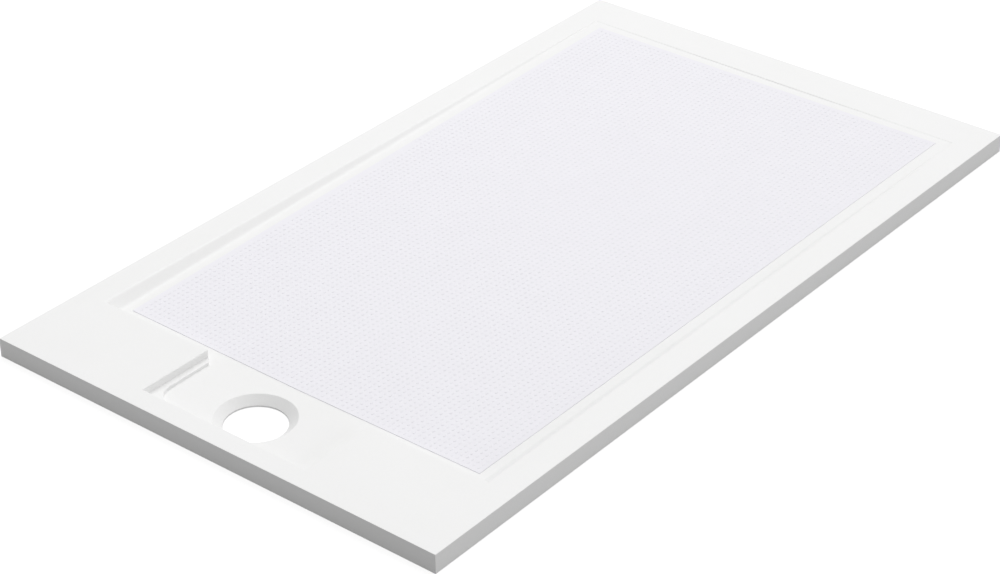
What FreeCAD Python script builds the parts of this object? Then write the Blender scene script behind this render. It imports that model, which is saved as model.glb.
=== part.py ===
import FreeCAD, Part
import os
import Sketcher
from FreeCAD import Vector

# An ultra-flat shower tray, 1400 x 800 x 30 mm, made the way a formed acrylic tray is made: one white
# skin with a rim, ramps, a falling floor and a drain recess, stiffened from below by timber battens,
# foam boards, plywood slats and a board round the waste hole, and closed by a glass-fibre sheet.
# The frame has its origin at the centre of the underside, X across the tray, Y along it with the drain
# at the -Y end, and Z up. The near end is the drain end. All sizes are in millimetres.

SIZES = {
    # the whole tray
    "tray_length": 1400.0,
    "tray_width": 800.0,
    "tray_height": 30.0,
    # the flat rim, and the ramps that lead from it down to the floor
    "side_rim": 46.5,
    "far_rim": 73.0,
    "ramp_angle": 39.5,
    # the floor: its height at the middle of the drain end, the rise from there to the ramps,
    # and how far it lies below the rim at the far end
    "floor_height_near": 12.9,
    "cross_fall_near": 2.9,
    "far_step_centre": 1.2,
    "far_step_side": 0.5,
    # the recess round the drain, and the ledge in it that carries a cover plate
    "recess_setback": 35.0,
    "recess_width": 298.0,
    "recess_fall": 0.4,
    "ledge_width": 10.0,
    "ledge_rise": 4.5,
    "ledge_corner_radius": 30.0,
    # the waste hole, its countersink and the floor left between countersink and recess ends
    "waste_hole_diameter": 90.0,
    "waste_land": 2.3,
    "countersink_width": 13.5,
    "countersink_margin": 4.5,
    # the grip field, which stands proud of the floor on a thin bed of adhesive
    "grip_bond": 0.15,
    "grip_thickness": 0.5,
    "grip_margin_near": 22.0,
    "grip_margin_far": 16.0,
    "grip_width_near": 643.2,
    "grip_width_far": 665.0,
    # the skin and what stiffens it
    "shell_wall": 4.0,
    "backing_thickness": 1.5,
    "slat_width": 60.0,
    "slat_thickness": 4.0,
    "slat_count": 5,
    "fit_gap": 0.3,
}

PLANE_OF_FLOOR = "XY_Plane"
PLANE_ACROSS = "XZ_Plane"
SAME_PLACE = 0.01


# Formulas that several pieces share. Each one is text that the document works out from the sheet.


def size(name):
    return f"Sizes.{name}"


def blend(near, far, share):
    """The value a share of the way from the near formula to the far one."""
    return f"(({near}) + (({far}) - ({near})) * ({share}))"


HALF_WIDTH = "(Sizes.tray_width / 2)"
HALF_LENGTH = "(Sizes.tray_length / 2)"
RIM_TOP = "Sizes.tray_height"
RIM_UNDERSIDE = "(Sizes.tray_height - Sizes.shell_wall)"
BACKING_TOP = "Sizes.backing_thickness"

# across the tray
RAMP_TOP_X = "(Sizes.tray_width / 2 - Sizes.side_rim)"
INNER_HALF_WIDTH = "(Sizes.tray_width / 2 - Sizes.shell_wall)"
RECESS_HALF_WIDTH = "(Sizes.recess_width / 2)"
RECESS_WALL_X = "(Sizes.recess_width / 2 + Sizes.shell_wall)"
LEDGE_EDGE_X = "(Sizes.recess_width / 2 - Sizes.ledge_width)"

# the floor's height at its centreline and at the foot of the ramps, and where that foot is
NEAR_CENTRE_Z = "Sizes.floor_height_near"
NEAR_SIDE_Z = "(Sizes.floor_height_near + Sizes.cross_fall_near)"
FAR_CENTRE_Z = "(Sizes.tray_height - Sizes.far_step_centre)"
FAR_SIDE_Z = "(Sizes.tray_height - Sizes.far_step_side)"
NEAR_FOOT_X = f"({RAMP_TOP_X} - ({RIM_TOP} - {NEAR_SIDE_Z}) / tan(Sizes.ramp_angle))"
FAR_FOOT_X = f"({RAMP_TOP_X} - Sizes.far_step_side / tan(Sizes.ramp_angle))"
# the skin's inner corners on a ramp lie further out, so that the ramp is as thick as the rest
RAMP_SHIFT = "(Sizes.shell_wall * tan(Sizes.ramp_angle / 2))"
BATTEN_FACE_X = f"({RAMP_TOP_X} + {RAMP_SHIFT})"

# along the tray
NEAR_END_Y = f"(-{HALF_LENGTH})"
RECESS_Y = f"({NEAR_END_Y} + Sizes.recess_setback)"
COUNTERSINK_RADIUS = "(Sizes.waste_hole_diameter / 2 + Sizes.countersink_width)"
WASTE_Y = f"({RECESS_Y} + Sizes.countersink_margin + {COUNTERSINK_RADIUS})"
FLOOR_START_Y = f"({WASTE_Y} + {COUNTERSINK_RADIUS} + Sizes.countersink_margin)"
FLOOR_END_Y = f"({HALF_LENGTH} - Sizes.far_rim)"
CORE_START_Y = f"({FLOOR_START_Y} - Sizes.shell_wall)"
CORE_END_Y = f"({FLOOR_END_Y} + Sizes.shell_wall)"
INNER_HALF_LENGTH = f"({HALF_LENGTH} - Sizes.shell_wall)"
NEAR_BATTEN_Y = f"({RECESS_Y} - Sizes.shell_wall)"

# the drain recess
RECESS_SIDE_RISE = f"(Sizes.cross_fall_near * {RECESS_HALF_WIDTH} / {NEAR_FOOT_X})"
LEDGE_SIDE_RISE = f"(Sizes.cross_fall_near * {LEDGE_EDGE_X} / {NEAR_FOOT_X})"
LEDGE_Z = f"({NEAR_CENTRE_Z} + {LEDGE_SIDE_RISE} + Sizes.ledge_rise)"
RECESS_LOW_Z = f"({NEAR_CENTRE_Z} - Sizes.recess_fall)"
RECESS_UNDERSIDE = f"({RECESS_LOW_Z} - Sizes.shell_wall)"
COUNTERSINK_TOP_Z = f"({NEAR_CENTRE_Z} - Sizes.recess_fall / 2)"
NECK_TOP_Z = f"({RECESS_LOW_Z} - Sizes.shell_wall / 2)"
WASTE_RADIUS = "(Sizes.waste_hole_diameter / 2)"


# Small steps of the model that repeat.


def new_body(document, label):
    body = document.addObject("PartDesign::Body", label)
    body.Label = label
    return body


def origin_plane(body, role):
    return next(item for item in body.Origin.OriginFeatures if item.Role == role)


def mirrored(half):
    """A symmetric outline from its left half, which runs from the outside to the centreline."""
    left = [(f"-({x})" if x != "0" else x, z) for x, z in half]
    right = [(x, z) for x, z in reversed(half) if x != "0"]
    return left + right


def rectangle(low_x, high_x, low_y, high_y):
    return [(low_x, low_y), (high_x, low_y), (high_x, high_y), (low_x, high_y)]


def place_corner(sketch, line, formula, kind, axis):
    """Ties one coordinate of the start of a line to a formula, or lays it on an axis if that is 0."""
    if formula == "0":
        sketch.addConstraint(Sketcher.Constraint("PointOnObject", line, 1, axis))
        return
    value = float(sketch.evalExpression(formula))
    index = sketch.addConstraint(Sketcher.Constraint(kind, -1, 1, line, 1, value))
    sketch.setExpression(f"Constraints[{index}]", formula)


def outline(body, name, plane, corners, distance="0"):
    """A closed sketch with straight sides, on a plane of the body moved along its normal."""
    sketch = body.newObject("Sketcher::SketchObject", name)
    sketch.AttachmentSupport = (origin_plane(body, plane), "")
    sketch.MapMode = "FlatFace"
    sketch.setExpression("AttachmentOffset.Base.z", distance)
    points = [Vector(*(float(sketch.evalExpression(f)) for f in corner), 0) for corner in corners]
    for start, end in zip(points, points[1:] + points[:1]):
        sketch.addGeometry(Part.LineSegment(start, end))
    for line, (x, y) in enumerate(corners):
        sketch.addConstraint(Sketcher.Constraint("Coincident", line, 2, (line + 1) % len(corners), 1))
        place_corner(sketch, line, x, "DistanceX", -2)
        place_corner(sketch, line, y, "DistanceY", -1)
    sketch.Visibility = False
    return sketch


def cross_section(body, name, corners, y):
    """An outline across the tray at a place along it; that plane's normal points to -Y."""
    return outline(body, name, PLANE_ACROSS, corners, f"-({y})")


def pad(body, sketch, height):
    feature = body.newObject("PartDesign::Pad", f"{sketch.Name}_pad")
    feature.Profile = sketch
    feature.setExpression("Length", height)
    return feature


def pocket_up(body, sketch, height):
    """A pocket that cuts from the sketch towards +Z."""
    feature = body.newObject("PartDesign::Pocket", f"{sketch.Name}_pocket")
    feature.Profile = sketch
    feature.Reversed = True
    feature.setExpression("Length", height)
    return feature


def loft(body, kind, near_sketch, far_sketch):
    feature = body.newObject(f"PartDesign::{kind}", f"{near_sketch.Name}_loft")
    feature.Profile = near_sketch
    feature.Sections = [far_sketch]
    feature.Ruled = True
    return feature


def turned(body, kind, sketch):
    """A revolution or groove about the sketch's own vertical axis."""
    feature = body.newObject(f"PartDesign::{kind}", f"{sketch.Name}_turned")
    feature.Profile = sketch
    feature.ReferenceAxis = (sketch, ["V_Axis"])
    feature.Angle = 360
    return feature


def block(document, label, corners, bottom, top):
    """A piece of constant height."""
    body = new_body(document, label)
    pad(body, outline(body, f"{label}_plan", PLANE_OF_FLOOR, corners, bottom), f"{top} - {bottom}")
    return body


# Outlines that the skin shares with the pieces inside it.


def countersink_radius(z):
    """The radius of the countersink's face at a height."""
    climb = f"(({z}) - Sizes.waste_land) / ({COUNTERSINK_TOP_Z} - Sizes.waste_land)"
    return f"({WASTE_RADIUS} + Sizes.countersink_width * {climb})"


def countersink_profile(body, name, extra_radius, bottom, top):
    """Half of the hole's section, widened by extra_radius: a straight land, then the cone."""
    land = f"({WASTE_RADIUS} + ({extra_radius}))"
    rim = f"({countersink_radius(top)} + ({extra_radius}))"
    corners = [("0", bottom), (land, bottom), (land, size("waste_land")), (rim, top), ("0", top)]
    return cross_section(body, name, corners, WASTE_Y)


def cut_round_countersink(body):
    """Opens an inner piece round the skin's countersink, with the fit gap all round."""
    clear = "Sizes.shell_wall + Sizes.fit_gap"
    name = f"{body.Label}_waste_cut"
    turned(body, "Groove", countersink_profile(body, name, clear, "-Sizes.waste_land", NECK_TOP_Z))


def underside_half(foot_x, side_z, centre_z):
    """The skin's inner face under ramp and floor, from the batten's face to the centreline."""
    return [
        (BATTEN_FACE_X, RIM_UNDERSIDE),
        (f"({foot_x} + {RAMP_SHIFT})", f"({side_z} - Sizes.shell_wall)"),
        ("0", f"({centre_z} - Sizes.shell_wall)"),
    ]


# The skin.


def cut_floor(body):
    """The shallow hollow one stands in: ramps at the sides, and a floor that falls to the drain."""

    def section(name, foot_x, side_z, centre_z, y):
        above = f"({RIM_TOP} + Sizes.shell_wall)"
        half = [(RAMP_TOP_X, above), (RAMP_TOP_X, RIM_TOP), (foot_x, side_z), ("0", centre_z)]
        return cross_section(body, name, mirrored(half), y)

    near = section("floor_near", NEAR_FOOT_X, NEAR_SIDE_Z, NEAR_CENTRE_Z, FLOOR_START_Y)
    far = section("floor_far", FAR_FOOT_X, FAR_SIDE_Z, FAR_CENTRE_Z, FLOOR_END_Y)
    loft(body, "SubtractiveLoft", near, far)


def cut_drain_recess(body):
    """The recess round the drain, open to the floor, whose bottom carries on the floor's two slopes."""

    def section(name, drop, y):
        above = f"({RIM_TOP} + Sizes.shell_wall)"
        side_z = f"({NEAR_CENTRE_Z} + {RECESS_SIDE_RISE} - {drop})"
        centre_z = f"({NEAR_CENTRE_Z} - {drop})"
        wall = [(RECESS_HALF_WIDTH, above), (RECESS_HALF_WIDTH, RIM_TOP), (RECESS_HALF_WIDTH, side_z)]
        return cross_section(body, name, mirrored(wall + [("0", centre_z)]), y)

    near = section("recess_near", size("recess_fall"), RECESS_Y)
    far = section("recess_far", "0", FLOOR_START_Y)
    loft(body, "SubtractiveLoft", near, far)


def add_ledge(body):
    """The U-shaped ledge for a cover plate, cut at 45 degrees at its open ends."""
    inner_near_y = f"({RECESS_Y} + Sizes.ledge_width)"
    inner_far_y = f"({FLOOR_START_Y} - Sizes.ledge_width)"
    half = [
        (LEDGE_EDGE_X, inner_far_y),
        (RECESS_HALF_WIDTH, FLOOR_START_Y),
        (RECESS_HALF_WIDTH, RECESS_Y),
    ]
    corners = mirrored(half) + [(LEDGE_EDGE_X, inner_near_y), (f"-({LEDGE_EDGE_X})", inner_near_y)]
    pad(body, outline(body, "ledge_plan", PLANE_OF_FLOOR, corners), LEDGE_Z)


def round_ledge_corners(document, body, ledge):
    """Rounds the ledge's two inner corners at the near side, which are upright edges."""
    document.recompute()
    corner_x = float(ledge.evalExpression(LEDGE_EDGE_X))
    corner_y = float(ledge.evalExpression(f"{RECESS_Y} + Sizes.ledge_width"))
    names = []
    for number, edge in enumerate(ledge.Shape.Edges, 1):
        centre = edge.CenterOfMass
        if abs(abs(centre.x) - corner_x) < SAME_PLACE and abs(centre.y - corner_y) < SAME_PLACE:
            names.append(f"Edge{number}")
    fillet = body.newObject("PartDesign::Fillet", "ledge_corners")
    fillet.Base = (ledge, names)
    fillet.setExpression("Radius", size("ledge_corner_radius"))


def hollow_underside(body):
    """Takes out all that lies more than the wall below the rim, the deck and the floor."""

    def section(name, foot_x, side_z, centre_z, y):
        sides = [(INNER_HALF_WIDTH, "-Sizes.shell_wall"), (INNER_HALF_WIDTH, RIM_UNDERSIDE)]
        half = sides + underside_half(foot_x, side_z, centre_z)
        return cross_section(body, name, mirrored(half), y)

    near = section("hollow_near", NEAR_FOOT_X, NEAR_SIDE_Z, NEAR_CENTRE_Z, CORE_START_Y)
    far = section("hollow_far", FAR_FOOT_X, FAR_SIDE_Z, FAR_CENTRE_Z, CORE_END_Y)
    loft(body, "SubtractiveLoft", near, far)

    across = (f"-({INNER_HALF_WIDTH})", INNER_HALF_WIDTH)
    far_rim = rectangle(*across, CORE_END_Y, INNER_HALF_LENGTH)
    pocket_up(body, outline(body, "hollow_far_rim", PLANE_OF_FLOOR, far_rim), RIM_UNDERSIDE)

    near_end = f"-({INNER_HALF_LENGTH})"
    half_deck = [
        (RECESS_WALL_X, NEAR_BATTEN_Y),
        (RECESS_WALL_X, CORE_START_Y),
        (INNER_HALF_WIDTH, CORE_START_Y),
        (INNER_HALF_WIDTH, near_end),
    ]
    deck = mirrored(half_deck)
    pocket_up(body, outline(body, "hollow_deck", PLANE_OF_FLOOR, deck), RIM_UNDERSIDE)

    under_recess = rectangle(f"-({RECESS_WALL_X})", RECESS_WALL_X, NEAR_BATTEN_Y, CORE_START_Y)
    pocket_up(body, outline(body, "hollow_recess", PLANE_OF_FLOOR, under_recess), RECESS_UNDERSIDE)


def form_waste(body):
    """The countersunk neck that reaches down to the underside, and the hole through it."""
    neck = countersink_profile(body, "waste_neck", size("shell_wall"), "0", NECK_TOP_Z)
    turned(body, "Revolution", neck)
    land_bottom = "-Sizes.waste_land"
    corners = [
        ("0", land_bottom),
        (WASTE_RADIUS, land_bottom),
        (WASTE_RADIUS, size("waste_land")),
        (COUNTERSINK_RADIUS, COUNTERSINK_TOP_Z),
        (COUNTERSINK_RADIUS, LEDGE_Z),
        ("0", LEDGE_Z),
    ]
    turned(body, "Groove", cross_section(body, "waste_hole", corners, WASTE_Y))


def make_tray_shell(document):
    body = new_body(document, "tray_shell")
    plan = rectangle(f"-{HALF_WIDTH}", HALF_WIDTH, f"-{HALF_LENGTH}", HALF_LENGTH)
    pad(body, outline(body, "tray_plan", PLANE_OF_FLOOR, plan), RIM_TOP)
    cut_floor(body)
    cut_drain_recess(body)
    add_ledge(body)
    round_ledge_corners(document, body, body.Tip)
    hollow_underside(body)
    form_waste(body)


# The grip field.


def make_grip_field(document):
    """A thin raised layer on the floor, whose straight sides open out a little towards the far end."""
    body = new_body(document, "grip_field")
    floor_length = f"({FLOOR_END_Y} - {FLOOR_START_Y})"

    def section(name, width, distance):
        length_share = f"({distance} / {floor_length})"
        foot_x = blend(NEAR_FOOT_X, FAR_FOOT_X, length_share)
        side_z = blend(NEAR_SIDE_Z, FAR_SIDE_Z, length_share)
        centre_z = blend(NEAR_CENTRE_Z, FAR_CENTRE_Z, length_share)
        edge_x = f"({width} / 2)"
        edge_z = blend(centre_z, side_z, f"{edge_x} / {foot_x}")
        floor = [(edge_x, edge_z), ("0", centre_z)]
        lower = mirrored([(x, f"({z} + Sizes.grip_bond)") for x, z in floor])
        upper = [(x, f"({z} + Sizes.grip_thickness)") for x, z in reversed(lower)]
        return cross_section(body, name, lower + upper, f"({FLOOR_START_Y} + {distance})")

    near = section("grip_near", size("grip_width_near"), size("grip_margin_near"))
    far = section("grip_far", size("grip_width_far"), f"({floor_length} - Sizes.grip_margin_far)")
    loft(body, "AdditiveLoft", near, far)


# The pieces inside the skin.


def make_side_batten(document, side):
    """A timber batten under a side rim, as long as the inside of the skin."""
    left = side == "left"
    low_x = f"-({INNER_HALF_WIDTH})" if left else BATTEN_FACE_X
    high_x = f"-({BATTEN_FACE_X})" if left else INNER_HALF_WIDTH
    plan = rectangle(low_x, high_x, f"-({INNER_HALF_LENGTH})", INNER_HALF_LENGTH)
    block(document, f"rim_batten_{side}", plan, BACKING_TOP, RIM_UNDERSIDE)


def make_end_battens(document):
    """The battens across both ends, fitted between the side battens."""
    across = (f"-({BATTEN_FACE_X})", BATTEN_FACE_X)
    near = rectangle(*across, f"-({INNER_HALF_LENGTH})", NEAR_BATTEN_Y)
    far = rectangle(*across, CORE_END_Y, INNER_HALF_LENGTH)
    block(document, "rim_batten_near", near, BACKING_TOP, RIM_UNDERSIDE)
    block(document, "rim_batten_far", far, BACKING_TOP, RIM_UNDERSIDE)


def make_deck_core(document, side):
    """A foam block beside the drain recess."""
    left = side == "left"
    low_x = f"-({BATTEN_FACE_X})" if left else RECESS_WALL_X
    high_x = f"-({RECESS_WALL_X})" if left else BATTEN_FACE_X
    plan = rectangle(low_x, high_x, NEAR_BATTEN_Y, CORE_START_Y)
    block(document, f"deck_core_{side}", plan, BACKING_TOP, RIM_UNDERSIDE)


def slat_pitch():
    return f"(({CORE_END_Y} - {CORE_START_Y}) / Sizes.slat_count)"


def slat_start(number):
    """Where a slat begins along the tray: the slats are spread evenly under the floor."""
    return f"({CORE_START_Y} + {slat_pitch()} * {number + 0.5} - Sizes.slat_width / 2)"


def make_floor_core(document, side):
    """A tapered foam board under half of the floor, grooved underneath for the slats."""
    body = new_body(document, f"floor_core_{side}")
    sign = "-" if side == "left" else ""

    def section(name, foot_x, side_z, centre_z, y):
        top = underside_half(foot_x, side_z, centre_z)
        half = [(BATTEN_FACE_X, BACKING_TOP)] + top + [("0", BACKING_TOP)]
        corners = [(f"{sign}({x})" if x != "0" else x, z) for x, z in half]
        return cross_section(body, name, corners, y)

    near_name = f"core_near_{side}"
    far_name = f"core_far_{side}"
    near = section(near_name, NEAR_FOOT_X, NEAR_SIDE_Z, NEAR_CENTRE_Z, CORE_START_Y)
    far = section(far_name, FAR_FOOT_X, FAR_SIDE_Z, FAR_CENTRE_Z, CORE_END_Y)
    loft(body, "AdditiveLoft", near, far)

    edge_x = f"{sign}({BATTEN_FACE_X})"
    low_y = slat_start(0)
    groove = rectangle(edge_x, "0", low_y, f"({low_y} + Sizes.slat_width)")
    first = outline(body, f"slat_groove_{side}", PLANE_OF_FLOOR, groove)
    cut = pocket_up(body, first, f"{BACKING_TOP} + Sizes.slat_thickness")
    document.recompute()
    pattern = body.newObject("PartDesign::LinearPattern", f"slat_grooves_{side}")
    pattern.Originals = [cut]
    pattern.Direction = (first, ["V_Axis"])
    pattern.setExpression("Length", f"{slat_pitch()} * (Sizes.slat_count - 1)")
    pattern.setExpression("Occurrences", size("slat_count"))
    body.Tip = pattern
    cut_round_countersink(body)


def make_cross_slat(document, number):
    """A plywood slat across the tray, flush with the underside of the foam boards."""
    low_y = slat_start(number)
    across = (f"-({BATTEN_FACE_X})", BATTEN_FACE_X)
    plan = rectangle(*across, low_y, f"({low_y} + Sizes.slat_width)")
    top = f"({BACKING_TOP} + Sizes.slat_thickness)"
    block(document, f"cross_slat_{number + 1}", plan, BACKING_TOP, top)


def make_waste_board(document):
    """The plywood board round the waste hole."""
    plan = rectangle(f"-({RECESS_WALL_X})", RECESS_WALL_X, NEAR_BATTEN_Y, CORE_START_Y)
    body = block(document, "waste_board", plan, BACKING_TOP, RECESS_UNDERSIDE)
    cut_round_countersink(body)


def make_backing_sheet(document):
    """The glass-fibre sheet that closes the underside, inside the skirt of the skin."""
    across = (f"-({INNER_HALF_WIDTH})", INNER_HALF_WIDTH)
    plan = rectangle(*across, f"-({INNER_HALF_LENGTH})", INNER_HALF_LENGTH)
    body = block(document, "backing_sheet", plan, "0", BACKING_TOP)
    cut_round_countersink(body)


def make_sheet(document):
    sheet = document.addObject("Spreadsheet::Sheet", "Sizes")
    for row, (name, value) in enumerate(SIZES.items(), 1):
        sheet.set(f"A{row}", name)
        sheet.set(f"B{row}", str(value))
        sheet.setAlias(f"B{row}", name)
    document.recompute()
    return sheet


def check_document(document):
    """Stops if any object failed or any piece has no sound solid."""
    for item in document.Objects:
        if "Invalid" in item.State or "Error" in item.State:
            raise RuntimeError(f"{item.Label} failed: {item.State}")
    for body in document.findObjects("PartDesign::Body"):
        shape = body.Shape
        if shape.isNull() or not shape.isValid() or not shape.Solids:
            raise RuntimeError(f"{body.Label} has no valid solid")


def write_parts(document):
    os.makedirs("parts", exist_ok=True)
    for body in document.findObjects("PartDesign::Body"):
        body.Shape.exportStep(f"parts/{body.Label}.step")
        box = body.Shape.BoundBox
        print(
            f"{body.Label}: {len(body.Shape.Solids)} solid, {body.Shape.Volume / 1000:.1f} cm3, "
            f"x {box.XMin:.2f}..{box.XMax:.2f} y {box.YMin:.2f}..{box.YMax:.2f} "
            f"z {box.ZMin:.2f}..{box.ZMax:.2f}"
        )


def main():
    document = FreeCAD.newDocument("shower_tray")
    sheet = make_sheet(document)
    slat_count = int(sheet.slat_count)
    make_tray_shell(document)
    make_grip_field(document)
    make_end_battens(document)
    for side in ("left", "right"):
        make_side_batten(document, side)
        make_deck_core(document, side)
        make_floor_core(document, side)
    for number in range(slat_count):
        make_cross_slat(document, number)
    make_waste_board(document)
    make_backing_sheet(document)
    document.recompute()
    check_document(document)
    write_parts(document)


main()
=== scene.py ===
import math

import bmesh
import bpy
from mathutils import Matrix, Vector


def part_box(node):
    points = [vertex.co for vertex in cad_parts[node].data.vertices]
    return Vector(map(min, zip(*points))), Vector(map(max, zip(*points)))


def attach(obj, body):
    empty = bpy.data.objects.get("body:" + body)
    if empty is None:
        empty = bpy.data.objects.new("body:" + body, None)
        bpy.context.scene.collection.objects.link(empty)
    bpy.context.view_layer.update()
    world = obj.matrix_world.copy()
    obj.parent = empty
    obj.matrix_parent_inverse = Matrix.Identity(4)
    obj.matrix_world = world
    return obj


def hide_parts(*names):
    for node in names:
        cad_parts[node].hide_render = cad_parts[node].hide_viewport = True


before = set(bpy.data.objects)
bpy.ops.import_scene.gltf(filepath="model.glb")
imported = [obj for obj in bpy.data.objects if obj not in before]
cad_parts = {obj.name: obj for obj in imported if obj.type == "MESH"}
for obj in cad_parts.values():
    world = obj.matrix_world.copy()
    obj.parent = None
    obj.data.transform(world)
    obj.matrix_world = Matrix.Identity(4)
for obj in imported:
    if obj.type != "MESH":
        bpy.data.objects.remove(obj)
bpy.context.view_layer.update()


# ----------------------------------------------------------------------------------------------
# The skin. One sheet of white cast acrylic, heated and drawn over a mould, so that rim, ramps,
# floor and drain recess are a single 4 mm wall with small soft radii. The waste hole is cut
# afterwards, and its edge is pressed into a countersink for the flange of the waste.
# ----------------------------------------------------------------------------------------------

skin_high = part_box("tray_shell")[1]
half_width = skin_high.x
half_length = skin_high.y
rim_z = skin_high.z
skin_wall = 0.004

recess_half_width = 0.149
recess_near_y = -0.665
recess_drop = 0.0004
ledge_width = 0.010
ledge_rise = 0.0045
ledge_corner_radius = 0.030

waste_radius = 0.045
waste_land = 0.0023
flange_radius = 0.0585
flange_margin = 0.0045
waste_y = recess_near_y + flange_margin + flange_radius

side_rim = 0.0465
ramp_angle = math.radians(39.5)
ramp_top_x = half_width - side_rim
near_foot_z = 0.0158
far_foot_z = 0.0295
near_foot_x = ramp_top_x - (rim_z - near_foot_z) / math.tan(ramp_angle)
far_foot_x = ramp_top_x - (rim_z - far_foot_z) / math.tan(ramp_angle)
near_centre_z = 0.0129
far_centre_z = 0.0288
floor_start = waste_y + flange_radius + flange_margin
floor_end = 0.627

ledge_edge_x = recess_half_width - ledge_width
ledge_near_y = recess_near_y + ledge_width
ledge_end_y = floor_start - ledge_width


def between(near, far, share):
    return near + (far - near) * share


def share_along(y):
    return (y - floor_start) / (floor_end - floor_start)


def foot_x(y):
    return between(near_foot_x, far_foot_x, share_along(y))


def floor_z(x, y):
    """The floor falls to the drain end, and from both ramps to the centreline."""
    centre = between(near_centre_z, far_centre_z, share_along(y))
    foot = between(near_foot_z, far_foot_z, share_along(y))
    return between(centre, foot, abs(x) / foot_x(y))


def recess_z(x, y):
    """The bottom of the drain recess carries on the floor's two slopes."""
    near_share = (floor_start - y) / (floor_start - recess_near_y)
    return floor_z(x, floor_start) - recess_drop * near_share


ledge_z = floor_z(ledge_edge_x, floor_start) + ledge_rise

skin = bmesh.new()
skin_corners = {}


def skin_corner(x, y, z):
    place = (round(x, 6), round(y, 6), round(z, 6))
    if place not in skin_corners:
        skin_corners[place] = skin.verts.new(place)
    return skin_corners[place]


def skin_face(points):
    """A face of the right half, and its mirror image."""
    skin.faces.new([skin_corner(x, y, z) for x, y, z in points])
    skin.faces.new([skin_corner(-x, y, z) for x, y, z in reversed(points)])


def skin_strip(first, second):
    """A row of four-sided faces between two lines of points."""
    for a, b, c, d in zip(first, first[1:], second[1:], second):
        skin_face([a, b, c, d])


# rows of points from the centreline over the floor, the ramp's soft foot and its soft top to the rim
inner_column_x = 0.075
outer_columns_x = (0.215, 0.280)
floor_places = (0.0, inner_column_x, recess_half_width, *outer_columns_x)
floor_columns = [x / near_foot_x for x in floor_places]
recess_column = floor_places.index(recess_half_width)
widest_foot = 0.0035
widest_top = 0.0026
foot_share_of_ramp = 0.45
top_share_of_ramp = 0.35
slope_line_shares = (0.1, 0.9)
bend_steps = 4
floor_rows = 18
step_rows = 5
step_run = 0.0014
flat_beside_bend = 0.0015


def soft_bend(start, corner, end):
    """Points on a smooth bend that cuts off a corner."""
    shares = [step / bend_steps for step in range(bend_steps + 1)]
    return [start.lerp(corner, share).lerp(corner.lerp(end, share), share) for share in shares]


def cross_section(y):
    """The upper face across the right half of the tray, as places and heights."""
    foot = Vector((foot_x(y), floor_z(foot_x(y), y)))
    top = Vector((ramp_top_x, rim_z))
    uphill = (top - foot).normalized()
    foot_reach = min(widest_foot, foot_share_of_ramp * (top - foot).length)
    top_reach = min(widest_top, top_share_of_ramp * (top - foot).length)
    bend_start = foot.x - foot_reach
    points = [Vector((share * foot.x, floor_z(share * foot.x, y))) for share in floor_columns]
    beside = bend_start - flat_beside_bend
    points.append(Vector((beside, floor_z(beside, y))))
    points += soft_bend(Vector((bend_start, floor_z(bend_start, y))), foot, foot + uphill * foot_reach)
    slope_ends = (foot + uphill * foot_reach, top - uphill * top_reach)
    points += [slope_ends[0].lerp(slope_ends[1], share) for share in slope_line_shares]
    points += soft_bend(slope_ends[1], top, top + Vector((top_reach, 0)))
    points.append(points[-1] + Vector((flat_beside_bend, 0)))
    return points


# each row's place along the tray, and its share of the climb up the low far step
rows = [(between(floor_start, floor_end, row / floor_rows), 0.0) for row in range(floor_rows)]
rows += [(floor_end - flat_beside_bend, 0.0)]
for step in range(step_rows + 1):
    share = step / step_rows
    rows.append((floor_end + step_run * share, share * share * (3 - 2 * share)))
rows += [(floor_end + step_run + flat_beside_bend, 1.0)]


def floor_row(y, lift):
    return [(point.x, y, between(point.y, rim_z, lift)) for point in cross_section(min(y, floor_end))]


floor_lines = [list(line) for line in zip(*[floor_row(y, lift) for y, lift in rows])]
ramp_top_line = floor_lines[-1]
for line, next_line in zip(floor_lines, floor_lines[1:]):
    skin_strip(line, next_line)

# the flat rim, as one face on each side of the centreline
step_top_line = [line[-1] for line in floor_lines[:-1]]
rim_outline = [(0, -half_length, rim_z), (half_width, -half_length, rim_z)]
rim_outline += [(half_width, half_length, rim_z), (0, half_length, rim_z)]
rim_outline += step_top_line + ramp_top_line[::-1]
# from here outwards the wall in front of the floor runs out into the ramp, and its edges stay crisp
crisp_from_x = ramp_top_x - widest_top
rim_outline += [(crisp_from_x, floor_start, rim_z), (recess_half_width, floor_start, rim_z)]
rim_outline += [(recess_half_width, recess_near_y, rim_z)]
rim_outline += [(0, recess_near_y, rim_z)]
skin_face(rim_outline)

# the upright outer sides
skirt_corners = [(0, -half_length), (half_width, -half_length)]
skirt_corners += [(half_width, half_length), (0, half_length)]
skin_strip([(x, y, 0) for x, y in skirt_corners], [(x, y, rim_z) for x, y in skirt_corners])

# the upright wall where the floor ends beside the recess
floor_front = [line[0] for line in floor_lines]
wall_outline = [(recess_half_width, floor_start, ledge_z), (recess_half_width, floor_start, rim_z)]
wall_outline += [(crisp_from_x, floor_start, rim_z)] + floor_front[recess_column:][::-1]
skin_face(wall_outline)

# the walls of the recess above its ledge
recess_plan = [(0, recess_near_y), (recess_half_width, recess_near_y), (recess_half_width, floor_start)]
skin_strip([(x, y, ledge_z) for x, y in recess_plan], [(x, y, rim_z) for x, y in recess_plan])

# plan of the ledge's inner edge, from the cut end to where the round flange seat begins
corner_steps = 8
corner_x = ledge_edge_x - ledge_corner_radius
corner_y = ledge_near_y + ledge_corner_radius
ledge_plan = [(recess_half_width, floor_start), (ledge_edge_x, ledge_end_y)]
for step in range(corner_steps + 1):
    turn = math.radians(90) * step / corner_steps
    x = corner_x + ledge_corner_radius * math.cos(turn)
    y = corner_y - ledge_corner_radius * math.sin(turn)
    ledge_plan.append((x, y))

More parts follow.
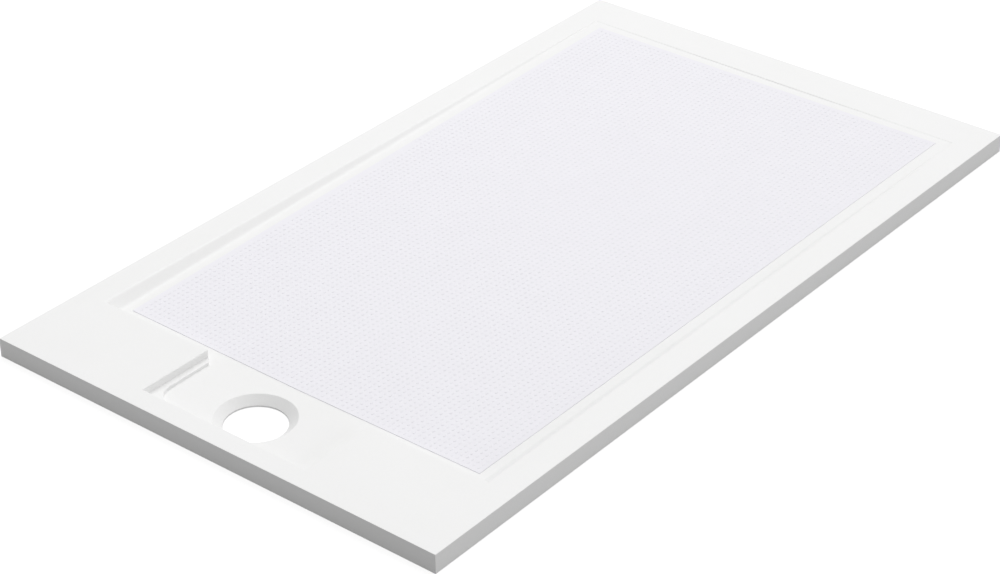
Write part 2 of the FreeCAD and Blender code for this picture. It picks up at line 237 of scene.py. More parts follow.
# the flange seat cuts into the ledge a little, so its circle is parted where they meet
meeting_angle = -math.asin((waste_y - ledge_near_y) / flange_radius)
ledge_part_steps = 6
open_part_steps = 40
low_angle = math.radians(-90)
high_angle = math.radians(90)
ledge_shares = [step / ledge_part_steps for step in range(ledge_part_steps)]
open_shares = [step / open_part_steps for step in range(open_part_steps + 1)]
circle_angles = [between(low_angle, meeting_angle, share) for share in ledge_shares]
circle_angles += [between(meeting_angle, high_angle, share) for share in open_shares]


def circle(radius, z=None):
    """The right half of a circle round the waste hole, on the recess floor if z is not given."""
    places = [(radius * math.cos(a), waste_y + radius * math.sin(a)) for a in circle_angles]
    return [(x, y, recess_z(x, y) if z is None else z) for x, y in places]


flange_edge = circle(flange_radius)
flange_on_ledge = circle(flange_radius, ledge_z)[: ledge_part_steps + 1]
skin_strip(flange_edge[: ledge_part_steps + 1], flange_on_ledge)

ledge_plan.append((flange_on_ledge[-1][0], ledge_near_y))
ledge_edge = [(x, y, ledge_z) for x, y in ledge_plan[:-1]] + flange_on_ledge[::-1]
skin_face([(0, recess_near_y, ledge_z), (recess_half_width, recess_near_y, ledge_z)] + ledge_edge)

ledge_foot = [(x, y, recess_z(x, y)) for x, y in ledge_plan[:-1]] + [flange_edge[ledge_part_steps]]
skin_strip(ledge_foot, ledge_edge[: len(ledge_foot)])
skin_face(floor_front[:recess_column] + ledge_foot[:-1] + flange_edge[ledge_part_steps:])

# the countersink, the straight land of the hole and the neck that reaches the underside
land_top = circle(waste_radius, waste_land)
land_foot = circle(waste_radius, 0)
neck_foot = circle(waste_radius + skin_wall, 0)
neck_top_of_land = circle(waste_radius + skin_wall, waste_land)
recess_underside = near_centre_z - recess_drop - skin_wall
neck_climb = (recess_underside - waste_land) / (recess_z(0, waste_y) - waste_land)
neck_spread = (flange_radius - waste_radius) * neck_climb
neck_top = circle(waste_radius + skin_wall + neck_spread, recess_underside)
for ring, next_ring in zip(
    (flange_edge, land_top, land_foot, neck_foot, neck_top_of_land),
    (land_top, land_foot, neck_foot, neck_top_of_land, neck_top),
):
    skin_strip(ring, next_ring)

seen_faces = len(skin.faces)

# the hidden side of the skin, which the stiffening is laminated to
inner_x = half_width - skin_wall
inner_y = half_length - skin_wall
rim_underside = rim_z - skin_wall
hidden_start = floor_start - skin_wall
hidden_end = floor_end + skin_wall
deck_wall_x = recess_half_width + skin_wall
deck_wall_y = recess_near_y - skin_wall
ramp_shift = skin_wall * math.tan(ramp_angle / 2)
hidden_ramp_x = ramp_top_x + ramp_shift
hidden_foot = near_foot_x + ramp_shift
hidden_rows = 10
hidden_places = (0.0, inner_column_x, deck_wall_x, *outer_columns_x, hidden_foot)
hidden_columns = [x / hidden_foot for x in hidden_places]


def hidden_point(row, column):
    share = row / hidden_rows
    centre = between(near_centre_z, far_centre_z, share) - skin_wall
    foot = between(near_foot_z, far_foot_z, share) - skin_wall
    x = hidden_columns[column] * (between(near_foot_x, far_foot_x, share) + ramp_shift)
    return (x, between(hidden_start, hidden_end, share), between(centre, foot, hidden_columns[column]))


hidden_lines = [
    [hidden_point(row, c) for row in range(hidden_rows + 1)] for c in range(len(hidden_columns))
]
hidden_ramp_line = [(hidden_ramp_x, y, rim_underside) for _, y, _ in hidden_lines[0]]
for line, next_line in zip(hidden_lines, hidden_lines[1:] + [hidden_ramp_line]):
    skin_strip(line, next_line)

ceiling = [(0, -inner_y), (inner_x, -inner_y), (inner_x, inner_y), (0, inner_y), (0, hidden_end)]
ceiling += [(x, y) for x, y, _ in hidden_ramp_line[::-1]]
ceiling += [(deck_wall_x, hidden_start), (deck_wall_x, deck_wall_y), (0, deck_wall_y)]
skin_face([(x, y, rim_underside) for x, y in ceiling])

hidden_front = [line[0] for line in hidden_lines]
hidden_back = [line[hidden_rows] for line in hidden_lines]
skin_face(hidden_back + [hidden_ramp_line[-1], (0, hidden_end, rim_underside)])
deck_wall_top = (deck_wall_x, hidden_start, rim_underside)
skin_face([deck_wall_top] + hidden_front[recess_column:] + [hidden_ramp_line[0]])
recess_back = [(deck_wall_x, hidden_start, recess_underside), (0, hidden_start, recess_underside)]
skin_face(hidden_front[: recess_column + 1] + recess_back)
skin_face(
    [
        (deck_wall_x, deck_wall_y, recess_underside),
        (deck_wall_x, hidden_start, recess_underside),
        hidden_front[recess_column],
        deck_wall_top,
        (deck_wall_x, deck_wall_y, rim_underside),
    ]
)
skin_strip(
    [(0, deck_wall_y, recess_underside), (deck_wall_x, deck_wall_y, recess_underside)],
    [(0, deck_wall_y, rim_underside), (deck_wall_x, deck_wall_y, rim_underside)],
)
under_recess = [(0, deck_wall_y), (deck_wall_x, deck_wall_y)]
under_recess += [(deck_wall_x, hidden_start), (0, hidden_start)]
skin_face([(x, y, recess_underside) for x, y in under_recess] + neck_top[::-1])

inner_corners = [(0, -inner_y), (inner_x, -inner_y), (inner_x, inner_y), (0, inner_y)]
skin_strip([(x, y, 0) for x, y in inner_corners], [(x, y, rim_underside) for x, y in inner_corners])
skin_strip([(x, y, 0) for x, y in skirt_corners], [(x, y, 0) for x, y in inner_corners])

if any(len(edge.link_faces) != 2 for edge in skin.edges):
    raise RuntimeError("the skin is not closed")
bmesh.ops.recalc_face_normals(skin, faces=skin.faces)

# every other seen edge of the sheet is soft too: how far the rounding reaches to each side of it
recess_rounding = 0.0018
ledge_rounding = 0.0008
rim_rounding = 0.0006
fine_rounding = 0.0005
widest_rounding = recess_rounding
sharp_from = math.radians(30)
small = 1e-5


def rounding(middle):
    """How far the soft edge with this middle reaches to each side."""
    at_floor_start = abs(middle.y - floor_start) < small
    at_rim = abs(middle.z - rim_z) < small
    beside_recess = abs(middle.x) < recess_half_width + small
    along_recess = recess_near_y - small < middle.y < floor_start - small
    if middle.z < small:
        return fine_rounding
    if at_floor_start and abs(middle.x) > crisp_from_x:
        return 0.0
    if at_rim and beside_recess and along_recess:
        return recess_rounding
    if at_floor_start or at_rim:
        return rim_rounding
    if abs(middle.z - ledge_z) < small:
        return ledge_rounding
    return fine_rounding


skin.faces.index_update()
roundings = skin.edges.layers.float.new("bevel_weight_edge")
for edge in skin.edges:
    middle = (edge.verts[0].co + edge.verts[1].co) / 2
    seen = all(face.index < seen_faces for face in edge.link_faces)
    folded = edge.calc_face_angle() > sharp_from
    from_waste = Vector((middle.x, middle.y - waste_y)).length
    on_seat_wall = from_waste < flange_radius + small and middle.y < ledge_near_y
    on_step = floor_end - small < middle.y < half_length - small and abs(middle.x) < ramp_top_x
    if seen and folded and not on_step and not (on_seat_wall and middle.z < ledge_z - small):
        edge[roundings] = rounding(middle) / widest_rounding
    if folded and not on_step and edge[roundings] == 0:
        edge.smooth = False
for face in skin.faces:
    face.smooth = True

skin_mesh = bpy.data.meshes.new("acrylic_skin")
skin.to_mesh(skin_mesh)
skin.free()
acrylic_skin = bpy.data.objects.new("acrylic_skin", skin_mesh)
bpy.context.scene.collection.objects.link(acrylic_skin)

softening = acrylic_skin.modifiers.new("soft_edges", "BEVEL")
softening.limit_method = "WEIGHT"
softening.width = widest_rounding
softening.segments = 3
softening.use_clamp_overlap = False
softening.harden_normals = True


def place_node(tree, kind, **settings):
    """A shader node with its properties set."""
    node = tree.nodes.new(kind)
    for name, value in settings.items():
        setattr(node, name, value)
    return node


def join(tree, source, target):
    tree.links.new(source, target)


def start_material(name):
    """A new material, with its tree and its main shader."""
    material = bpy.data.materials.new(name)
    material.use_nodes = True
    shader = material.node_tree.nodes["Principled BSDF"]
    return material, material.node_tree, shader


def make_mottle_group():
    """Soft uneven patches and fine grain, as any moulded, sprayed or laminated surface shows."""
    group = bpy.data.node_groups.new("surface_mottle", "ShaderNodeTree")
    face = group.interface
    face.new_socket("Vector", in_out="INPUT", socket_type="NodeSocketVector")
    for name, value in (("Patch Scale", 8.0), ("Grain Scale", 400.0), ("Grain Share", 0.3)):
        socket = face.new_socket(name, in_out="INPUT", socket_type="NodeSocketFloat")
        socket.default_value = value
    face.new_socket("Patches", in_out="OUTPUT", socket_type="NodeSocketFloat")
    face.new_socket("Grain", in_out="OUTPUT", socket_type="NodeSocketFloat")
    face.new_socket("Mix", in_out="OUTPUT", socket_type="NodeSocketFloat")
    entry = place_node(group, "NodeGroupInput")
    leave = place_node(group, "NodeGroupOutput")
    patches = place_node(group, "ShaderNodeTexNoise")
    patches.inputs["Detail"].default_value = 3.0
    patches.inputs["Roughness"].default_value = 0.55
    grain = place_node(group, "ShaderNodeTexNoise")
    grain.inputs["Detail"].default_value = 2.0
    blend = place_node(group, "ShaderNodeMix", data_type="FLOAT")
    join(group, entry.outputs["Vector"], patches.inputs["Vector"])
    join(group, entry.outputs["Patch Scale"], patches.inputs["Scale"])
    join(group, entry.outputs["Vector"], grain.inputs["Vector"])
    join(group, entry.outputs["Grain Scale"], grain.inputs["Scale"])
    join(group, entry.outputs["Grain Share"], blend.inputs["Factor"])
    join(group, patches.outputs["Fac"], blend.inputs["A"])
    join(group, grain.outputs["Fac"], blend.inputs["B"])
    join(group, patches.outputs["Fac"], leave.inputs["Patches"])
    join(group, grain.outputs["Fac"], leave.inputs["Grain"])
    join(group, blend.outputs["Result"], leave.inputs["Mix"])
    return group


surface_mottle = make_mottle_group()


def place_mottle(tree, vector, patch_scale, grain_scale, grain_share):
    node = place_node(tree, "ShaderNodeGroup", node_tree=surface_mottle)
    join(tree, vector, node.inputs["Vector"])
    node.inputs["Patch Scale"].default_value = patch_scale
    node.inputs["Grain Scale"].default_value = grain_scale
    node.inputs["Grain Share"].default_value = grain_share
    return node


def place_ramp(tree, mask, stops):
    """A colour ramp over a mask; each stop is a position and a colour."""
    ramp = place_node(tree, "ShaderNodeValToRGB")
    elements = ramp.color_ramp.elements
    for number, (position, colour) in enumerate(stops):
        element = elements[number] if number < 2 else elements.new(position)
        element.position = position
        element.color = (*colour, 1.0)
    join(tree, mask, ramp.inputs["Fac"])
    return ramp.outputs["Color"]


def place_range(tree, mask, low, high):
    """A mask stretched to the range from low to high."""
    node = place_node(tree, "ShaderNodeMapRange")
    node.inputs["To Min"].default_value = low
    node.inputs["To Max"].default_value = high
    join(tree, mask, node.inputs["Value"])
    return node.outputs["Result"]


def place_bump(tree, height, distance, strength):
    node = place_node(tree, "ShaderNodeBump")
    node.inputs["Strength"].default_value = strength
    node.inputs["Distance"].default_value = distance
    join(tree, height, node.inputs["Height"])
    return node.outputs["Normal"]


def make_white_acrylic():
    """Satin white: a faint warm and cool unevenness, and the fine orange peel of drawn acrylic."""
    material, tree, shader = start_material("white_acrylic")
    place = place_node(tree, "ShaderNodeTexCoord").outputs["Object"]
    mottle = place_mottle(tree, place, patch_scale=5.0, grain_scale=260.0, grain_share=0.35)
    warm_white = (0.868, 0.868, 0.862)
    clear_white = (0.893, 0.893, 0.893)
    colour = place_ramp(tree, mottle.outputs["Mix"], ((0.30, warm_white), (0.70, clear_white)))
    join(tree, colour, shader.inputs["Base Color"])
    roughness = place_range(tree, mottle.outputs["Mix"], low=0.42, high=0.58)
    join(tree, roughness, shader.inputs["Roughness"])
    bump = place_bump(tree, mottle.outputs["Grain"], distance=0.00004, strength=0.5)
    join(tree, bump, shader.inputs["Normal"])
    shader.inputs["IOR"].default_value = 1.49
    return material


white_acrylic = make_white_acrylic()
skin_mesh.materials.append(white_acrylic)
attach(acrylic_skin, "root")
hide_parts("tray_shell")


# ----------------------------------------------------------------------------------------------
# The grip field. A matt resin layer, half a millimetre thick, bonded on the part of the floor that
# one stands on. Low oval dots, longer along the tray and in straight rows, rise to the level of its
# plain border, in turn a little larger and smaller, like a chessboard.
# ----------------------------------------------------------------------------------------------

grip_low, grip_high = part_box("grip_field")
grip_start = grip_low.y
grip_end = grip_high.y
near_grip_x = 0.3216
far_grip_x = 0.3325
# the layer and the thin bed of adhesive under it
grip_height = 0.00065
grip_sink = 0.0001
dot_pitch_x = 0.0092
dot_pitch_y = 0.0094
dot_radii = (0.00156, 0.00136)
dot_stretch = 1.7
dot_height = 0.00041
dot_shortfalls = (0.0, 0.00004)
dot_side_run = 0.00021
dot_sides = 8
plain_border = 0.002
border_slope = 0.008
dot_sharp_from = math.radians(35)

grip_points = []
grip_faces = []
grip_corners = {}


def grip_edge(y):
    return between(near_grip_x, far_grip_x, (y - grip_start) / (grip_end - grip_start))


def grip_top(x, y, drop=0.0):
    """A point on the layer's upper face, which the tops of the dots lie in."""
    return (x, y, floor_z(x, y) + grip_height - drop)


def grip_ground(x, y):
    """A point between the dots, a dot's height lower, except near the border of the field."""
    to_border = min(grip_edge(y) - abs(x), y - grip_start, grip_end - y)
    share = min(max((to_border - plain_border) / border_slope, 0), 1)
    return grip_top(x, y, dot_height * share)


def grip_corner(point):
    place = tuple(round(c, 6) for c in point)
    if place not in grip_corners:
        grip_corners[place] = len(grip_points)
        grip_points.append(place)
    return grip_corners[place]


def grip_face(points):
    grip_faces.append([grip_corner(p) for p in points])


def columns_each_side(y):
    """How many dots fit between the centre dot and the edge of the field."""
    return int((grip_edge(y) - plain_border / 2) / dot_pitch_x - 0.5)


def line_x(number):
    return (number + 0.5) * dot_pitch_x


def ring_places(centre, radius):
    """Places round an oval dot, longer along the tray, from its lower left."""
    turns = [2 * math.pi * (side + 0.5) / dot_sides - math.pi for side in range(dot_sides)]
    return [
        (centre[0] + radius * math.cos(turn), centre[1] + radius * dot_stretch * math.sin(turn))
        for turn in turns
    ]


def add_points(points):
    """Adds points that no other face shares, and gives their numbers."""
    first = len(grip_points)
    grip_points.extend(points)
    return list(range(first, first + len(points)))


def add_dot(column, row, low_y, high_y):
    """One cell of the field: its four corners, and a low dot with steep sides and a flat top."""
    size = (column + row) % 2
    left_x = line_x(column - 1)
    right_x = line_x(column)
    centre = ((left_x + right_x) / 2, (low_y + high_y) / 2)
    cell = [(left_x, low_y), (right_x, low_y), (right_x, high_y), (left_x, high_y)]
    corners = [grip_corner(grip_ground(x, y)) for x, y in cell]
    foot_places = ring_places(centre, dot_radii[size])
    head_places = ring_places(centre, dot_radii[size] - dot_side_run)
    foot = add_points([grip_ground(x, y) for x, y in foot_places])
    head = add_points([grip_top(x, y, dot_shortfalls[size]) for x, y in head_places])
    grip_faces.append(head)
    for side in range(dot_sides):
        after = (side + 1) % dot_sides
        grip_faces.append([foot[side], foot[after], head[after], head[side]])
    # two of the foot's eight points face each side of the cell
    for side in range(4):
        a = foot[(2 * side + 1) % dot_sides]
        b = foot[(2 * side + 2) % dot_sides]
        c = foot[(2 * side) % dot_sides]
        grip_faces.append([corners[side], corners[(side + 1) % 4], b, a])
        grip_faces.append([corners[side], a, c])


dot_rows = int((grip_end - grip_start - 2 * plain_border) / dot_pitch_y)
edge_strip = (grip_end - grip_start - dot_rows * dot_pitch_y) / 2
row_lines = [grip_start + edge_strip + row * dot_pitch_y for row in range(dot_rows + 1)]
row_columns = [columns_each_side(y) for y in row_lines[:-1]]


def line_points(y, count):
    """The points on a line across the field, from the last dot's cell on the left to the right."""
    return [grip_ground(line_x(number), y) for number in range(-count - 1, count + 1)]


for row, count in enumerate(row_columns):
    low_y = row_lines[row]
    high_y = row_lines[row + 1]
    for column in range(-count, count + 1):
        add_dot(column, row, low_y, high_y)
    next_count = row_columns[row + 1] if row + 1 < dot_rows else count
    low_edge = grip_edge(low_y)
    high_edge = grip_edge(high_y)
    for side in (-1, 1):
        outline = [grip_ground(side * line_x(count), low_y), grip_top(side * low_edge, low_y)]
        outline += [grip_top(side * high_edge, high_y)]
        numbers = range(next_count, count - 1, -1)
        outline += [grip_ground(side * line_x(number), high_y) for number in numbers]
        grip_face(outline if side > 0 else outline[::-1])

# plain strips along both ends, the upright edge all round, and the underside in the floor


def end_places(y, count):
    """Places along one end of the field, in line with the cells and the centreline."""
    lines = sorted([line_x(number) for number in range(-count - 1, count + 1)] + [0.0])
    return [(x, y) for x in [-grip_edge(y)] + lines + [grip_edge(y)]]


def end_strip(row_y, count, end):
    """The strip between the outermost row of dots and one end of the field."""
    edge_x = grip_edge(row_y)
    inner = [grip_top(-edge_x, row_y)] + line_points(row_y, count) + [grip_top(edge_x, row_y)]
    outer = [grip_top(x, y) for x, y in end if x != 0]
    for a, b, c, d in zip(inner, inner[1:], outer[1:], outer):
        middle = [grip_top(0, d[1])] if d[0] < 0 < c[0] else []
        outline = [a, b, c] + middle + [d]
        grip_face(outline if d[1] > row_y else outline[::-1])


near_end = end_places(grip_start, row_columns[0])
far_end = end_places(grip_end, row_columns[-1])
end_strip(row_lines[0], row_columns[0], near_end)
end_strip(row_lines[-1], row_columns[-1], far_end)

right_side = [(grip_edge(y), y) for y in row_lines]
left_side = [(-x, y) for x, y in reversed(right_side)]
rim_of_field = near_end + right_side + far_end[::-1] + left_side
field_depth = grip_height + grip_sink
for (x, y), (next_x, next_y) in zip(rim_of_field, rim_of_field[1:] + rim_of_field[:1]):
    grip_face(
        [
            grip_top(x, y, field_depth),
            grip_top(next_x, next_y, field_depth),
            grip_top(next_x, next_y),
            grip_top(x, y),
        ]
    )
under_lines = [near_end] + [[(-x, y), (0, y), (x, y)] for x, y in right_side] + [far_end]
for line, next_line in zip(under_lines, under_lines[1:]):
    for side in (-1, 1):
        low = [grip_top(x, y, field_depth) for x, y in line if x * side >= 0]
        high = [grip_top(x, y, field_depth) for x, y in next_line if x * side >= 0]
        grip_face(high + low[::-1])

grip_mesh = bpy.data.meshes.new("grip_layer")
grip_mesh.from_pydata(grip_points, [], grip_faces)
grip_mesh.validate()
grip_mesh.shade_smooth()
grip_mesh.set_sharp_from_angle(angle=dot_sharp_from)
grip_layer = bpy.data.objects.new("grip_layer", grip_mesh)
bpy.context.scene.collection.objects.link(grip_layer)


def place_tint(tree, colour, shade, share):
    """A colour multiplied by a shade, by the given share."""
    tint = place_node(tree, "ShaderNodeMix", data_type="RGBA", blend_type="MULTIPLY")
    tint.inputs["Factor"].default_value = share
    join(tree, colour, tint.inputs["A"])
    join(tree, shade, tint.inputs["B"])
    return tint.outputs["Result"]


def make_grip_resin():
    """Matt, slightly cool white resin with a fine sandy tooth; its colour carries painted shade on all
    steep sides.
    """
    material, tree, shader = start_material("grip_resin")
    place = place_node(tree, "ShaderNodeTexCoord").outputs["Object"]
    mottle = place_mottle(tree, place, patch_scale=14.0, grain_scale=900.0, grain_share=0.45)
    dull_resin = (0.850, 0.841, 0.883)
    clear_resin = (0.876, 0.867, 0.909)
    colour = place_ramp(tree, mottle.outputs["Mix"], ((0.30, dull_resin), (0.70, clear_resin)))
    slope = place_node(tree, "ShaderNodeSeparateXYZ")
    join(tree, place_node(tree, "ShaderNodeNewGeometry").outputs["Normal"], slope.inputs["Vector"])
    # painted shade: the colour is darkened on the steep sides of the dots and the border, standing in
    # for shading there
    painted_steep_shade = (0.80, 0.80, 0.81)
    no_shade = (1.0, 1.0, 1.0)
    shade = place_ramp(tree, slope.outputs["Z"], ((0.45, painted_steep_shade), (0.85, no_shade)))
    tint = place_tint(tree, colour, shade, share=1.0)
    join(tree, tint, shader.inputs["Base Color"])
    roughness = place_range(tree, mottle.outputs["Mix"], low=0.58, high=0.78)
    join(tree, roughness, shader.inputs["Roughness"])
    bump = place_bump(tree, mottle.outputs["Grain"], distance=0.00006, strength=0.6)
    join(tree, bump, shader.inputs["Normal"])
    return material


grip_mesh.materials.append(make_grip_resin())
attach(grip_layer, "root")
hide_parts("grip_field")


# ----------------------------------------------------------------------------------------------
# The edge battens. Sawn softwood strips under the rim, glued to the skin and soaked with resin.
# The side ones run along the tray and the end ones across it, and their grain runs with them.
# ----------------------------------------------------------------------------------------------


def make_grain_group():
    """Wood grain along the group's Y axis: growth lines, finer fibres and their colour mask."""
    group = bpy.data.node_groups.new("wood_grain", "ShaderNodeTree")
    face = group.interface
    face.new_socket("Vector", in_out="INPUT", socket_type="NodeSocketVector")
    for name, value in (("Ring Scale", 60.0), ("Fibre Scale", 600.0)):
        socket = face.new_socket(name, in_out="INPUT", socket_type="NodeSocketFloat")
        socket.default_value = value
    face.new_socket("Rings", in_out="OUTPUT", socket_type="NodeSocketFloat")
    face.new_socket("Fibres", in_out="OUTPUT", socket_type="NodeSocketFloat")
    entry = place_node(group, "NodeGroupInput")
    leave = place_node(group, "NodeGroupOutput")
    stretch = place_node(group, "ShaderNodeMapping")
    stretch.inputs["Scale"].default_value = (1.0, 0.06, 1.0)
    rings = place_node(group, "ShaderNodeTexWave", wave_type="BANDS", bands_direction="X")
    rings.inputs["Distortion"].default_value = 6.0
    rings.inputs["Detail"].default_value = 3.0
    rings.inputs["Detail Scale"].default_value = 0.6
    fibres = place_node(group, "ShaderNodeTexNoise")
    fibres.inputs["Detail"].default_value = 4.0
    join(group, entry.outputs["Vector"], stretch.inputs["Vector"])
    join(group, stretch.outputs["Vector"], rings.inputs["Vector"])
    join(group, stretch.outputs["Vector"], fibres.inputs["Vector"])
    join(group, entry.outputs["Ring Scale"], rings.inputs["Scale"])
    join(group, entry.outputs["Fibre Scale"], fibres.inputs["Scale"])
    join(group, rings.outputs["Fac"], leave.inputs["Rings"])
    join(group, fibres.outputs["Fac"], leave.inputs["Fibres"])
    return group


wood_grain = make_grain_group()


def place_grain(tree, turned, ring_scale, fibre_scale):
    """Grain along the tray, or across it if turned."""
    place = place_node(tree, "ShaderNodeTexCoord").outputs["Object"]
    turn = place_node(tree, "ShaderNodeMapping")
    turn.inputs["Rotation"].default_value = (0.0, 0.0, math.radians(90 if turned else 0))
    node = place_node(tree, "ShaderNodeGroup", node_tree=wood_grain)
    join(tree, place, turn.inputs["Vector"])
    join(tree, turn.outputs["Vector"], node.inputs["Vector"])
    node.inputs["Ring Scale"].default_value = ring_scale
    node.inputs["Fibre Scale"].default_value = fibre_scale
    return node


def make_softwood(name, turned):
    material, tree, shader = start_material(name)
    grain = place_grain(tree, turned, ring_scale=70.0, fibre_scale=520.0)
    late_wood = (0.52, 0.33, 0.16)
    early_wood = (0.70, 0.52, 0.31)
    rings = place_ramp(tree, grain.outputs["Rings"], ((0.15, late_wood), (0.75, early_wood)))
    fibre_shade = (0.60, 0.56, 0.50)
    no_shade = (1.0, 1.0, 1.0)
    fibres = place_ramp(tree, grain.outputs["Fibres"], ((0.35, fibre_shade), (0.65, no_shade)))
    tint = place_tint(tree, rings, fibres, share=0.5)
    join(tree, tint, shader.inputs["Base Color"])
    roughness = place_range(tree, grain.outputs["Fibres"], low=0.50, high=0.75)
    join(tree, roughness, shader.inputs["Roughness"])
    bump = place_bump(tree, grain.outputs["Fibres"], distance=0.0003, strength=0.5)
    join(tree, bump, shader.inputs["Normal"])
    return material


def finish_node(name, material):
    """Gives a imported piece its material; its shape stays as it is."""
    for material_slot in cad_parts[name].material_slots:
        material_slot.material = material


softwood_along = make_softwood("softwood_along", turned=False)
softwood_across = make_softwood("softwood_across", turned=True)
finish_node("rim_batten_left", softwood_along)
finish_node("rim_batten_right", softwood_along)
finish_node("rim_batten_near", softwood_across)
finish_node("rim_batten_far", softwood_across)


# ----------------------------------------------------------------------------------------------
# The foam boards. Cut closed-cell foam under the floor and the deck, which keeps the skin from
# drumming. The two floor boards taper with the fall, and are grooved underneath for the slats.
# ----------------------------------------------------------------------------------------------


def make_rigid_foam():
    material, tree, shader = start_material("rigid_foam")
    place = place_node(tree, "ShaderNodeTexCoord").outputs["Object"]
    cells = place_node(tree, "ShaderNodeTexVoronoi", feature="F1")
    cells.inputs["Scale"].default_value = 900.0
    join(tree, place, cells.inputs["Vector"])
    mottle = place_mottle(tree, place, patch_scale=20.0, grain_scale=700.0, grain_share=0.5)
    deep_foam = (0.66, 0.57, 0.34)
    pale_foam = (0.75, 0.67, 0.45)
    colour = place_ramp(tree, mottle.outputs["Mix"], ((0.30, deep_foam), (0.70, pale_foam)))
    join(tree, colour, shader.inputs["Base Color"])
    roughness = place_range(tree, mottle.outputs["Grain"], low=0.80, high=0.95)
    join(tree, roughness, shader.inputs["Roughness"])
    bump = place_bump(tree, cells.outputs["Distance"], distance=0.0004, strength=0.7)
    join(tree, bump, shader.inputs["Normal"])
    return material


rigid_foam = make_rigid_foam()
for side in ("left", "right"):
    finish_node(f"deck_core_{side}", rigid_foam)
    finish_node(f"floor_core_{side}", rigid_foam)


# ----------------------------------------------------------------------------------------------
# The plywood pieces. Five slats across the tray, let into the foam, carry the load to the side
# battens, and one board stiffens the bottom of the drain recess round the waste hole.
# ----------------------------------------------------------------------------------------------

ply_thickness = 0.0013


def make_plywood():
    material, tree, shader = start_material("plywood")
    grain = place_grain(tree, turned=True, ring_scale=30.0, fibre_scale=420.0)
    split = place_node(tree, "ShaderNodeSeparateXYZ")
    join(tree, place_node(tree, "ShaderNodeTexCoord").outputs["Object"], split.inputs["Vector"])
    ply = place_node(tree, "ShaderNodeMath", operation="PINGPONG")
    ply.inputs[1].default_value = ply_thickness
    join(tree, split.outputs["Z"], ply.inputs[0])
    plies = place_node(tree, "ShaderNodeMapRange")
    plies.inputs["From Max"].default_value = ply_thickness
    join(tree, ply.outputs["Value"], plies.inputs["Value"])
    dark_veneer = (0.47, 0.30, 0.15)
    pale_veneer = (0.60, 0.42, 0.23)
    face = place_ramp(tree, grain.outputs["Rings"], ((0.2, dark_veneer), (0.8, pale_veneer)))
    cross_ply_shade = (0.72, 0.66, 0.58)
    no_shade = (1.0, 1.0, 1.0)
    layers = place_ramp(tree, plies.outputs["Result"], ((0.45, cross_ply_shade), (0.55, no_shade)))
    tint = place_tint(tree, face, layers, share=0.6)
    join(tree, tint, shader.inputs["Base Color"])
    roughness = place_range(tree, grain.outputs["Fibres"], low=0.55, high=0.8)
    join(tree, roughness, shader.inputs["Roughness"])
    bump = place_bump(tree, grain.outputs["Fibres"], distance=0.0002, strength=0.4)
    join(tree, bump, shader.inputs["Normal"])
    return material


plywood = make_plywood()
finish_node("waste_board", plywood)
slat_count = 5
for number in range(1, slat_count + 1):
    finish_node(f"cross_slat_{number}", plywood)


# ----------------------------------------------------------------------------------------------
# The backing sheet. Chopped-strand glass fibre and polyester resin, rolled over the whole
# underside inside the skirt of the skin. The strands stay visible in the cured resin.
# ----------------------------------------------------------------------------------------------


strand_directions = (8, 47, 83, 121, 159)
strand_scale = 420.0
strand_squeeze = 0.045


def place_strands(tree, vector, degrees):
    """One layer of short straight strands that lie in one direction."""
    turn = place_node(tree, "ShaderNodeMapping")
    turn.inputs["Rotation"].default_value = (0.0, 0.0, math.radians(degrees))
    turn.inputs["Scale"].default_value = (1.0, strand_squeeze, 1.0)
    # each layer reads another part of the noise
    turn.inputs["Location"].default_value = (degrees * 0.37, degrees * 0.11, 0.0)
    strands = place_node(tree, "ShaderNodeTexNoise")
    strands.inputs["Scale"].default_value = strand_scale
    strands.inputs["Detail"].default_value = 1.0
    join(tree, vector, turn.inputs["Vector"])
    join(tree, turn.outputs["Vector"], strands.inputs["Vector"])
    return place_range(tree, strands.outputs["Fac"], low=-1.1, high=2.0)


def place_maximum(tree, first, second):
    """The larger of two masks."""
    node = place_node(tree, "ShaderNodeMath", operation="MAXIMUM")
    join(tree, first, node.inputs[0])
    join(tree, second, node.inputs[1])
    return node.outputs["Value"]


def make_glass_fibre():
    material, tree, shader = start_material("glass_fibre")
    place = place_node(tree, "ShaderNodeTexCoord").outputs["Object"]
    layers = [place_strands(tree, place, degrees) for degrees in strand_directions]
    mat = layers[0]
    for layer in layers[1:]:
        mat = place_maximum(tree, mat, layer)
    mottle = place_mottle(tree, place, patch_scale=10.0, grain_scale=300.0, grain_share=0.3)
    between_strands = (0.47, 0.49, 0.42)
    strand = (0.69, 0.70, 0.64)
    strands = place_ramp(tree, mat, ((0.45, between_strands), (0.95, strand)))
    thick_resin = (0.86, 0.88, 0.80)
    thin_resin = (1.0, 1.0, 1.0)
    resin = place_ramp(tree, mottle.outputs["Mix"], ((0.3, thick_resin), (0.7, thin_resin)))
    tint = place_tint(tree, strands, resin, share=1.0)
    join(tree, tint, shader.inputs["Base Color"])
    roughness = place_range(tree, mottle.outputs["Mix"], low=0.30, high=0.60)
    join(tree, roughness, shader.inputs["Roughness"])
    bump = place_bump(tree, mat, distance=0.0004, strength=0.6)
    join(tree, bump, shader.inputs["Normal"])
    return material


finish_node("backing_sheet", make_glass_fibre())


# ----------------------------------------------------------------------------------------------
# The studio: a plain pale floor in a white surround, a large soft lamp overhead, a fill lamp far
# to the right and a soft sun from behind, and the camera, high beyond the near right corner.
# ----------------------------------------------------------------------------------------------

floor_size = 14.0
stage_plane = bmesh.new()
bmesh.ops.create_grid(stage_plane, x_segments=2, y_segments=2, size=floor_size / 2)
floor_mesh = bpy.data.meshes.new("studio_floor")
stage_plane.to_mesh(floor_mesh)
stage_plane.free()
studio_floor = bpy.data.objects.new("studio_floor", floor_mesh)
bpy.context.scene.collection.objects.link(studio_floor)
floor_clearance = 0.0005
studio_floor.location.z = -floor_clearance

floor_albedo = 0.31
floor_unevenness = 0.02
floor_glow = 0.815


